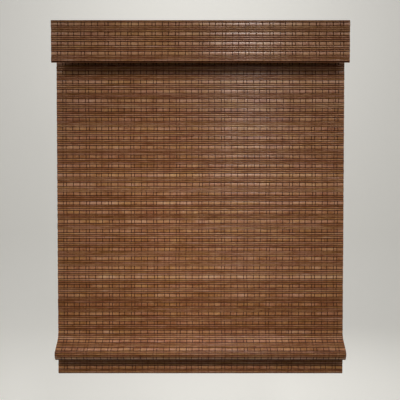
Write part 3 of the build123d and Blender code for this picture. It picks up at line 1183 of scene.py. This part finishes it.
@dataclass
class WovenStrip:
    """A run of neighbouring slats that move together."""

    name: str
    body: str
    slats: list[Slat]
    path: RoundedPath
    weave: Weave
    fold: Fold | None = None

    END_JITTER = 0.0005
    OVERLAP = 0.0005
    SHOULDER = 0.30
    WIDE_STAND = 0.55
    REED_STAND = -1.25

    def build(self, tree: WovenTree, bamboo: bpy.types.Material, thread: bpy.types.Material,
              node: str, width: float) -> None:
        """Makes the strip's mesh and gives it to its body.

        Args:
            tree: The weave's geometry nodes.
            bamboo: Finish of the slats.
            thread: Finish of the threads.
            node: The CAD node that the strip stands for.
            width: Length of the slats.
        """
        piece = tree.grow(self._base(), {
            "Slat Length": width - 2 * self.END_JITTER, "Thread Radius": self.weave.thread_radius,
            "Slat Finish": bamboo, "Thread Finish": thread})
        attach(piece, self.body)
        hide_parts(node)
        if self.fold:
            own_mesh(piece)
        LOG.info("%s: %d slats, %d faces", self.name, len(self.slats), len(piece.data.polygons))

    def _base(self) -> bpy.types.Object:
        """Makes slat points and the two thread lines, with what the tree reads from them.

        Returns:
            The object that the tree starts from.
        """
        chance = random.Random(self.name)
        spots: list[tuple[float, float, float]] = []
        rows: list[dict[str, float]] = []
        for slat in self.slats:
            y, z, heading = self.path.at((slat.start + slat.end) / 2)
            spots.append((chance.uniform(-0.5, 0.5) * self.END_JITTER, y, z))
            rows.append({
                "lean": math.atan2(math.cos(heading), -math.sin(heading)),
                "pitch": slat.pitch + self.OVERLAP,
                "thick": slat.thick,
                "tone": slat.tone,
                "kind": slat.kind.value,
                "level": z,
                "wide": float(slat.kind.value),
                "reach": 1.0 + chance.uniform(-1.0, 1.0) * self.END_JITTER,
            })
        edges: list[tuple[int, int]] = []
        for over in (SlatKind.WIDE, SlatKind.REED):
            line = self._thread(over)
            edges += [(len(spots) + step, len(spots) + step + 1) for step in range(len(line) - 1)]
            spots += line
        mesh = bpy.data.meshes.new(self.name)
        mesh.from_pydata(spots, edges, [])
        for key in rows[0]:
            kind = "INT" if key == "kind" else "FLOAT"
            layer = mesh.attributes.new(key, kind, "POINT")
            for index, row in enumerate(rows):
                layer.data[index].value = row[key]
        strand = mesh.attributes.new("strand", "BOOLEAN", "POINT")
        for index in range(len(rows), len(spots)):
            strand.data[index].value = True
        return add_object(self.name, mesh)

    def _thread(self, over: SlatKind) -> list[tuple[float, float, float]]:
        """Leads a thread in front of one kind of slat and behind the other.

        Args:
            over: The kind that it passes in front of.

        Returns:
            Points along the thread.
        """
        line = [self._beside(self.slats[0].start, 0.0)]
        for slat in self.slats:
            stand = self.WIDE_STAND if slat.kind is SlatKind.WIDE else self.REED_STAND
            rise = slat.thick / 2 + self.weave.thread_radius * stand
            side = rise if slat.kind is over else -rise
            middle = (slat.start + slat.end) / 2
            for shoulder in (-self.SHOULDER, self.SHOULDER):
                line.append(self._beside(middle + shoulder * slat.pitch, side))
            line.append(self._beside(slat.end, 0.0))
        return line

    def _beside(self, along: float, out: float) -> tuple[float, float, float]:
        """A place off the path, out towards the room."""
        y, z, heading = self.path.at(along)
        return 0.0, y + out * math.sin(heading), z - out * math.cos(heading)


@dataclass
class ShadeMat:
    """The folding mat: head, five folds of two leaves each, the formed pleat and the hem."""

    weave: Weave
    width: float = WEAVE_WIDTH
    plane_y: float = 0.0264
    top: float = 0.0213
    drop: float = 1.080
    pleat_top: float = 0.966
    pleat_entry_radius: float = 0.025
    pleat_nose: tuple[float, float] = (0.0460, 0.0400)
    pleat_nose_radius: float = 0.018
    pleat_heel: tuple[float, float] = (0.0280, 0.0182)
    pleat_heel_radius: float = 0.008
    pleat_return: float = 1.0103
    pleat_return_radius: float = 0.004
    pocket_pitch: float = 0.0080
    pocket_trim: float = 0.0001
    hem_back: float = 0.018
    folds: int = 5
    repeats_per_fold: int = 6
    repeats_above: int = 2
    lift: float = LIFT_TRAVEL
    row_share: float = 0.191
    leaf_keep: float = 0.05

    HEM_RUN = 8

    def path(self) -> RoundedPath:
        """Leads the mat from its top edge round the pleat to the hem's turned-up end.

        Returns:
            The middle of the mat's thickness, as a path.
        """
        nose = (self.plane_y - self.pleat_nose[0], -self.pleat_top - self.pleat_nose[1])
        heel = (self.plane_y - self.pleat_heel[0], -self.pleat_return - self.pleat_heel[1])
        bottom = self.weave.reed_thick / 2 - self.drop
        back = self.plane_y + self.pocket_pitch
        corners = [(self.plane_y, -self.top), (self.plane_y, -self.pleat_top), nose, heel,
                   (self.plane_y, -self.pleat_return), (self.plane_y, bottom), (back, bottom),
                   (back, self.hem_back - self.drop)]
        turn = self.pocket_pitch / 2 - self.pocket_trim
        radii = [self.pleat_entry_radius, self.pleat_nose_radius, self.pleat_heel_radius]
        return RoundedPath(corners, [*radii, self.pleat_return_radius, turn, turn])

    def strips(self) -> list[WovenStrip]:
        """Cuts the mat into strips at its fold lines.

        Returns:
            The strips from the top down, each with its body and how it folds.
        """
        path = self.path()
        slats = self.weave.slats(path.length, 0)
        per_repeat = self.weave.reeds + 1
        at = self.repeats_above * per_repeat
        leaf_slats = self.repeats_per_fold * per_repeat // 2
        strips = [WovenStrip("mat_head", "headrail_body", slats[:at], path, self.weave)]
        pitch = self.repeats_per_fold * self.weave.repeat()
        closing = self.row_share * self.lift / pitch
        tilt = math.acos(math.sqrt(closing / (1 - self.leaf_keep)))
        row_z = -self.top - self.repeats_above * self.weave.repeat()
        for row in range(1, self.folds + 1):
            above = "headrail_body" if row == 1 else f"rib_{row - 1}"
            upper = Fold((0.0, -math.sin(tilt), math.cos(tilt)), (0.0, self.plane_y, row_z), self.leaf_keep)
            leaf = slats[at:at + leaf_slats]
            strips.append(WovenStrip(f"mat_fold_{row}_upper", above, leaf, path, self.weave, upper))
            at, row_z = at + leaf_slats, row_z - pitch
            lower = Fold((0.0, math.sin(tilt), math.cos(tilt)), (0.0, self.plane_y, row_z), self.leaf_keep)
            leaf = slats[at:at + leaf_slats]
            strips.append(WovenStrip(f"mat_fold_{row}_lower", f"rib_{row}", leaf, path, self.weave, lower))
            at += leaf_slats
        straight = path.bends[self.HEM_RUN].start
        hem = next(index for index in range(at, len(slats)) if slats[index].start >= straight)
        hem_z = path.at(slats[hem].start)[1]
        slack = self.lift * (1 - self.row_share * self.folds)
        squeeze = Fold((0.0, 0.0, 1.0), (0.0, self.plane_y, hem_z), 1 - slack / (row_z - hem_z))
        strips.append(WovenStrip("mat_pleat", "bottom_rail", slats[at:hem], path, self.weave, squeeze))
        strips.append(WovenStrip("mat_hem", "bottom_rail", slats[hem:], path, self.weave))
        return strips

    def build(self, tree: WovenTree, bamboo: bpy.types.Material, thread: bpy.types.Material) -> None:
        """Makes every strip of the mat."""
        for strip in self.strips():
            strip.build(tree, bamboo, thread, "shade_mat", self.width)


@dataclass
class Valance:
    """The short flap in front of the headrail, its lower edge turned up behind."""

    weave: Weave
    width: float = WEAVE_WIDTH
    plane_y: float = -0.0276
    top: float = 0.0002
    wide_rows: int = 4
    hem_reeds: int = 4
    hem_radius: float = 0.0023
    hem_trim: float = 0.0001

    def build(self, tree: WovenTree, bamboo: bpy.types.Material, thread: bpy.types.Material) -> None:
        """Makes the valance as one strip.

        Args:
            tree: The weave's geometry nodes.
            bamboo: Finish of the slats.
            thread: Finish of the threads.
        """
        weave = self.weave
        bottom = -self.top - weave.reed_pitch - self.wide_rows * weave.repeat() - self.hem_radius
        back = self.plane_y + 2 * self.hem_radius
        turn = self.hem_radius - self.hem_trim
        path = RoundedPath([(self.plane_y, -self.top), (self.plane_y, bottom), (back, bottom),
                            (back, bottom + self.hem_reeds * weave.reed_pitch)], [turn, turn])
        slats = weave.slats(path.length, weave.reeds, self.wide_rows)
        strip = WovenStrip("valance_weave", "headrail_body", slats, path, weave)
        strip.build(tree, bamboo, thread, "valance", self.width)


@dataclass
class LiftCords:
    """The cords behind the mat, their turns on the spools and their knots under the anchors."""

    finish: bpy.types.Material
    radius: float = 0.0007
    line_y: float = 0.036
    axis_y: float = 0.047
    axis_z: float = -0.037
    knot_z: float = -1.0540
    knot_radius: float = 0.0012
    wind_radius: float = 0.0110
    turns: int = 7
    turn_pitch: float = 2.1
    turn_steps: int = 28
    drop_steps: int = 40
    knot_steps: int = 48
    knot_rise: float = 0.00072
    lift: float = LIFT_TRAVEL

    def build(self, tree: CordTree) -> None:
        """Makes each cord's hanging length, turns and knot.

        Args:
            tree: The cords' geometry nodes.
        """
        for cord in Cord:
            name = f"lift_cord_{cord.name.lower()}"
            top, low = self.axis_z, self.knot_z + self.knot_radius
            drop = self._tube(tree, f"{name}_drop", self._hanging(cord.value, top, low), "headrail_body")
            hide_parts(name)
            keep = 1 - self.lift / (top - low)
            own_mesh(drop)
            turns = self._tube(tree, f"{name}_turns", self._winding(cord.value), "lift_tube_body")
            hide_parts(name)
            knot = self._tube(tree, f"{name}_knot", self._knot(cord.value), "bottom_rail", True)
            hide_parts(name)

    def _hanging(self, x: float, top: float, low: float) -> list[tuple[float, float, float]]:
        """Points down the straight length, evenly spaced."""
        heights = [top + (low - top) * step / self.drop_steps for step in range(self.drop_steps + 1)]
        return [(x, self.line_y, height) for height in heights]

    def _winding(self, x: float) -> list[tuple[float, float, float]]:
        """Leads a cord round its spool, turn beside turn.

        Args:
            x: The spool's place across the shade.

        Returns:
            Points along the turns.
        """
        line = []
        for step in range(self.turn_steps * self.turns + 1):
            share, angle = step / self.turn_steps, step * math.tau / self.turn_steps
            line.append((x + self.turn_pitch * self.radius * (share - self.turns / 2),
                         self.axis_y - self.wind_radius * math.cos(angle),
                         self.axis_z + self.wind_radius * math.sin(angle)))
        return line

    def _knot(self, x: float) -> list[tuple[float, float, float]]:
        """Leads a cord round an overhand knot, as a trefoil.

        Args:
            x: The knot's place across the shade.

        Returns:
            Points round the knot.
        """
        half = self.knot_radius / 2
        line = []
        for step in range(self.knot_steps):
            angle = step * math.tau / self.knot_steps
            line.append((x + half * (math.sin(angle) + 2 * math.sin(2 * angle)),
                         self.line_y + half * (math.cos(angle) - 2 * math.cos(2 * angle)),
                         self.knot_z - self.knot_rise * math.sin(3 * angle)))
        return line

    def _tube(self, tree: CordTree, name: str, line: list[tuple[float, float, float]], body: str,
              closed: bool = False) -> bpy.types.Object:
        """A round cord along a line, as a mesh that rides a body.

        Args:
            tree: The cords' geometry nodes.
            name: The piece's name.
            line: Points along the middle of the cord.
            body: The body that it moves with.
            closed: Whether the last point joins the first.

        Returns:
            The piece.
        """
        edges = [(step, step + 1) for step in range(len(line) - 1)]
        if closed:
            edges.append((len(line) - 1, 0))
        mesh = bpy.data.meshes.new(name)
        mesh.from_pydata(line, edges, [])
        piece = tree.grow(add_object(name, mesh), {"Cord Radius": self.radius, "Cord Finish": self.finish})
        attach(piece, body)
        LOG.info("%s: %d faces", name, len(piece.data.polygons))
        return piece


@dataclass
class Hardware:
    """The plain made pieces, kept as they are and given their finishes."""

    nodes: dict[str, bpy.types.Object]
    finishes: dict[str, Any] = field(default_factory=dict)

    def __post_init__(self) -> None:
        """Names a finish for each kind of made piece."""
        white = stain(236, 235, 230)
        self.finishes = {
            "mounting_board": PaintFinish(
                "board_paint", white, stain(222, 219, 210),
                roughness=0.5, peel=0.0002, grain=(30.0, 700.0, 700.0)),
            "headrail": PaintFinish(
                "rail_coat", white, stain(226, 225, 220),
                roughness=0.38, peel=0.00008, grain=(900.0, 900.0, 900.0)),
            "end_cap": MouldedFinish("cap_plastic", white, stain(226, 225, 219)),
            "headrail_screws": MetalFinish(
                "screw_zinc", stain(205, 207, 211), stain(160, 163, 168), roughness=0.34),
            "spring_rod": MetalFinish(
                "rod_zinc", stain(200, 202, 206), stain(152, 155, 160), roughness=0.3),
            "torsion_spring": MetalFinish(
                "spring_wire", stain(120, 122, 128), stain(70, 72, 78), roughness=0.36),
            "lift_tube": MetalFinish(
                "tube_drawn", stain(214, 216, 220), stain(176, 179, 184), roughness=0.3),
            "tape": TapeFinish("fastener_tape", stain(196, 193, 184), stain(232, 230, 223)),
            "rib_batten": TimberFinish("batten_pine"),
            "bottom_bar": TimberFinish("bar_pine", stain(198, 166, 122), stain(158, 116, 76)),
            "nylon": MouldedFinish("natural_nylon", stain(228, 225, 214), stain(212, 207, 192)),
        }

    def finish_for(self, node: str) -> str:
        """Finds the finish that a node's name asks for.

        Args:
            node: The node's name.

        Returns:
            The finish's key.
        """
        if node.endswith("_tape"):
            return "tape"
        for key in self.finishes:
            if node.startswith(key):
                return key
        return "nylon"

    def dress(self) -> None:
        """Gives every shown node its finish."""
        made = {key: finish.material() for key, finish in self.finishes.items()}
        for name, node in self.nodes.items():
            if node.hide_render:
                continue
            key = self.finish_for(name)
            node.data.materials.clear()
            node.data.materials.append(made[key])
            LOG.info("%s: %s", name, key)


@dataclass(frozen=True)
class Lamp:
    """A soft lamp: its place, the point that it faces, its size, its power and the angle of its beam."""

    name: str
    place: tuple[float, float, float]
    target: tuple[float, float, float]
    size: tuple[float, float]
    watts: float
    beam: float = 180.0

    def hang(self) -> None:
        """Puts the lamp into the scene."""
        light = bpy.data.lights.new(self.name, "AREA")
        light.shape = "RECTANGLE"
        light.size, light.size_y = self.size
        light.energy = self.watts
        light.spread = math.radians(self.beam)
        lamp = bpy.data.objects.new(self.name, light)
        lamp.location = self.place
        lamp.rotation_euler = (Vector(self.target) - Vector(self.place)).to_track_quat("-Z", "Y").to_euler()
        bpy.context.scene.collection.objects.link(lamp)


@dataclass
class Studio:
    """Pale floor and backdrop, soft lamps and the camera at the photograph's angle."""

    floor_z: float = -1.9
    wall_top: float = 3.9
    backdrop_y: float = 4.2
    sweep_radius: float = 0.9
    sweep_steps: int = 12
    half_width: float = 14.0
    front_y: float = -6.0
    pale: Colour = stain(228, 226, 220)
    worn: Colour = stain(220, 218, 212)
    worn_share: float = 0.3
    patch: float = 0.7
    stage_glow: float = 0.4
    room: Colour = stain(246, 245, 242)
    room_light: float = 0.05
    room_look: float = 0.6
    camera_place: tuple[float, float, float] = (-0.0014, -1.478, -0.5027)
    camera_pitch: float = -1.266
    focal_share: float = 1.2104
    sensor: float = 36.0
    lamps: tuple[Lamp, ...] = (
        Lamp("key", (0.36, -1.95, -0.20), (0.0, 0.0, -0.45), (0.25, 0.25), 3.9),
        Lamp("fill", (-1.5, -1.6, 0.55), (0.0, 0.0, -0.55), (0.6, 0.25), 2.8),
        Lamp("upper_key", (0.34, -2.0, 0.80), (-0.03, 0.0, -0.82), (0.25, 0.25), 2.2, 48.0),
        Lamp("upper_left", (-1.2, -1.8, 0.80), (0.0, 0.0, -0.85), (0.25, 0.25), 0.7, 46.0),
        Lamp("upper_right", (1.2, -1.8, 0.80), (0.0, 0.0, -0.85), (0.25, 0.25), 0.7, 46.0),
        Lamp("overhead", (0.0, -0.41, 0.90), (0.0, 0.0, -0.98), (1.6, 0.1), 0.25, 26.0),
        Lamp("back", (0.6, 2.4, 0.7), (0.0, 0.0, -0.5), (1.8, 1.8), 26.0),
        Lamp("wall", (0.0, 1.2, 2.4), (0.0, 4.2, -0.3), (2.0, 2.0), 60.0),
    )

    def build(self) -> None:
        """Makes the stage, the lamps and the camera."""
        self._stage()
        for lamp in self.lamps:
            lamp.hang()
        self._world()
        self._camera()

    def _stage(self) -> None:
        """A floor that curves up into a wall."""
        mesh = bpy.data.meshes.new("stage_floor")
        profile = self._profile()
        made = bmesh.new()
        sides = (-self.half_width, self.half_width)
        rows = [[made.verts.new((x, y, z)) for y, z in profile] for x in sides]
        for step in range(len(profile) - 1):
            made.faces.new((rows[0][step], rows[1][step], rows[1][step + 1], rows[0][step + 1]))
        made.to_mesh(mesh)
        made.free()
        mesh.materials.append(self._stage_paint())
        for polygon in mesh.polygons:
            polygon.use_smooth = True
        add_object("stage_floor", mesh)

    def _stage_paint(self) -> bpy.types.Material:
        """Builds a matt pale paint that glows a little where it is looked at.

        Returns:
            The material.
        """
        shader = Shader("pale_stage")
        tone = shader.noise(shader.stretched(self.patch, self.patch, self.patch), detail=2.0)
        paint = shader.mix(tone * self.worn_share, self.pale, self.worn)
        glow = shader.mix(shader.shown(), (0.0, 0.0, 0.0), paint)
        shader.set(Base_Color=paint, Roughness=0.9, Specular_IOR_Level=0.0, Emission_Color=glow,
                   Emission_Strength=self.stage_glow)
        return shader.material

    def _profile(self) -> list[tuple[float, float]]:
        """Leads the stage along its floor and up its wall.

        Returns:
            The (y, z) points of floor, sweep and wall.
        """
        radius = self.sweep_radius
        line = [(self.front_y, self.floor_z)]
        for step in range(self.sweep_steps + 1):
            angle = math.radians(90 * step / self.sweep_steps)
            y = self.backdrop_y - radius + radius * math.sin(angle)
            line.append((y, self.floor_z + radius * (1 - math.cos(angle))))
        line.append((self.backdrop_y, self.wall_top))
        return line

    def _world(self) -> None:
        """Dim light from all round, in a room that looks paler than the light that it sends."""
        world = bpy.data.worlds.new("soft_room")
        world.use_nodes = True
        graph = Graph(world.node_tree)
        graph.tree.nodes.clear()
        strength = graph.shown() * (self.room_look - self.room_light) + self.room_light
        backdrop = graph.node("ShaderNodeBackground", None, {
            "Color": (*self.room, 1.0), "Strength": strength})
        graph.node("ShaderNodeOutputWorld", None, {"Surface": backdrop.out()})
        bpy.context.scene.world = world

    def _camera(self) -> None:
        """The photograph's view: straight on and very slightly from above."""
        data = bpy.data.cameras.new("photo_view")
        data.sensor_width = self.sensor
        data.lens = self.sensor * self.focal_share
        camera = bpy.data.objects.new("photo_view", data)
        camera.location = self.camera_place
        camera.rotation_euler = (math.radians(90 + self.camera_pitch), 0.0, 0.0)
        bpy.context.scene.collection.objects.link(camera)
        bpy.context.scene.camera = camera


def main() -> None:
    """Builds every piece in order, then the stage."""
    logging.basicConfig(level=logging.INFO, format="%(name)s: %(message)s")
    weave = Weave()
    plan = ThreadPlan()
    tree = WovenTree(plan)
    bamboo = BambooFinish("stained_bamboo", plan).material()
    thread = ThreadFinish("warp_thread", stain(44, 21, 10), stain(76, 44, 26)).material()
    cord = ThreadFinish("braided_cord", stain(170, 160, 140), stain(218, 210, 192), turns=420.0).material()
    Valance(weave).build(tree, bamboo, thread)
    ShadeMat(weave).build(tree, bamboo, thread)
    LiftCords(cord).build(CordTree())
    Hardware(frame["nodes"]).dress()
    Studio().build()
    bpy.context.scene.view_settings.view_transform = "Standard"


if __name__ == "__main__":
    main()
